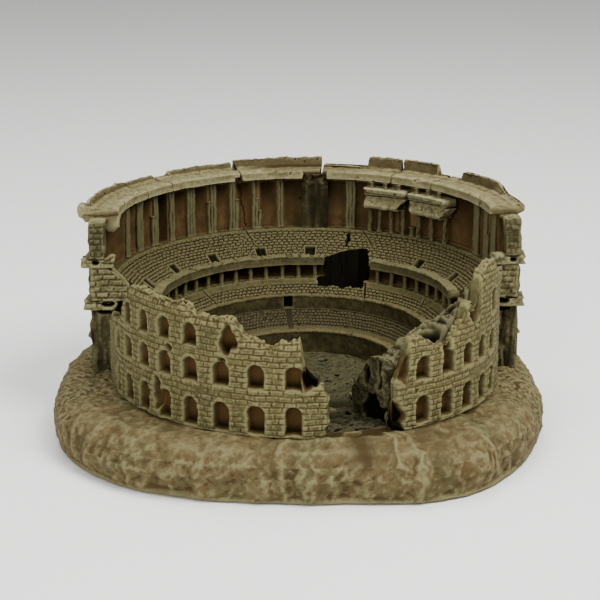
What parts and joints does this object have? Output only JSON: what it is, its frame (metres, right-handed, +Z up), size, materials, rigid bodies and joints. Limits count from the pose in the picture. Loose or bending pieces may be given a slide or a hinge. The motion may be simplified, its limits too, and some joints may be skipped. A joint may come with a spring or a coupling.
{
  "type": "miniature landmark model",
  "caption": "Souvenir model of a ruined round amphitheatre on a rocky mound: tiered seating, a tall arcaded outer wall at the back and a lower breached one in front.",
  "frame": {"origin": "axis of the arena's rings, on the surface that the model stands on", "axes": "+Z up; the breach in the front wall faces -Y and the tall wall stands at +Y; +X is to the right seen from the breach"},
  "size_m": [0.12, 0.1165, 0.0574],
  "materials": {
    "sculpted_resin": "matte, brown wash with a pale olive dry brush",
    "ground_resin": "matte, sandy tan dry brush over brown",
    "arena_resin": "matte, grey green in the hollows",
    "niche_resin": "matte red brown",
    "base_felt": "matte felt"
  },
  "bodies": {
    "root": {"felt_pad": "base_felt", "ground_mound": "ground_resin", "arena_floor": "arena_resin", "breach_path": "arena_resin", "podium_wall": "sculpted_resin", "lower_seating": "sculpted_resin", "middle_wall": "sculpted_resin", "middle_seating": "sculpted_resin", "short_colonnade_wall": "arena_resin", "short_columns": "sculpted_resin", "gallery_parapet_left": "sculpted_resin", "gallery_parapet_right": "sculpted_resin", "upper_seating": "sculpted_resin", "storey_1_arcade": "sculpted_resin", "storey_2_arcade": "sculpted_resin", "storey_3_arcade": "sculpted_resin", "attic_wall": "sculpted_resin", "cornice_1": "sculpted_resin", "cornice_2": "sculpted_resin", "cornice_3": "sculpted_resin", "half_columns_1": "sculpted_resin", "half_columns_2": "sculpted_resin", "half_columns_3": "sculpted_resin", "attic_pilasters": "sculpted_resin", "colonnade_back_wall": "niche_resin", "tall_columns": "sculpted_resin", "broken_pier": "sculpted_resin", "roof_slab_1": "sculpted_resin", "roof_slab_2": "sculpted_resin", "roof_slab_3": "sculpted_resin", "roof_slab_4": "sculpted_resin", "roof_slab_5": "sculpted_resin", "roof_slab_6": "sculpted_resin", "roof_slab_7": "sculpted_resin", "balcony_upper_left": "sculpted_resin", "balcony_upper_right": "sculpted_resin", "balcony_lower_left": "sculpted_resin", "balcony_lower_right": "sculpted_resin", "balcony_mini_columns": "sculpted_resin", "balcony_posts": "sculpted_resin", "left_end_pier": "sculpted_resin", "left_end_ledges": "sculpted_resin", "right_end_pier": "sculpted_resin", "right_end_ledges": "sculpted_resin", "front_left_wall": "sculpted_resin", "front_right_wall": "sculpted_resin", "left_rubble": "sculpted_resin", "right_rubble": "sculpted_resin", "breach_pier": "sculpted_resin", "fallen_blocks": "ground_resin"}
  },
  "joints": []
}
